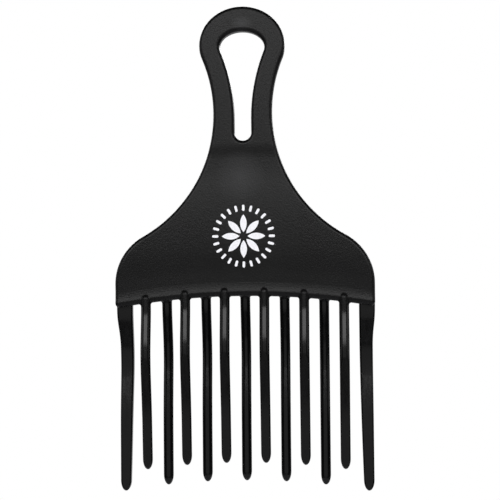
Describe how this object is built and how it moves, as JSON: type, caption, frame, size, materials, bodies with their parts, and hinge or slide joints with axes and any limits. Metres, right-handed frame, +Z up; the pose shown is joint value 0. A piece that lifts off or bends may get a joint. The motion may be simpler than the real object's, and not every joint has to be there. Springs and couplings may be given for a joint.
{
  "type": "afro pick",
  "caption": "Moulded black hair pick with a loop handle, a fan-shaped head, two staggered rows of long round teeth that bow apart, and a wide guard tooth at each end.",
  "frame": {"origin": "the hang point: the top of the slot in the handle, at mid thickness", "axes": "+Z up the handle, +X to the right, and the printed front looks towards -Y"},
  "size_m": [0.0912, 0.013, 0.1701],
  "materials": {
    "black_plastic": "satin, with the fine grain of a blasted mould",
    "white_ink": "matt pad-printed ink"
  },
  "bodies": {
    "root": {"handle_loop": "black_plastic", "head_plate": "black_plastic", "tooth_rail": "black_plastic", "front_tooth_1": "black_plastic", "front_tooth_2": "black_plastic", "front_tooth_3": "black_plastic", "front_tooth_4": "black_plastic", "front_tooth_5": "black_plastic", "front_tooth_6": "black_plastic", "rear_tooth_1": "black_plastic", "rear_tooth_2": "black_plastic", "rear_tooth_3": "black_plastic", "rear_tooth_4": "black_plastic", "rear_tooth_5": "black_plastic", "guard_tooth_left": "black_plastic", "guard_tooth_right": "black_plastic", "printed_mark": "white_ink"}
  },
  "joints": []
}
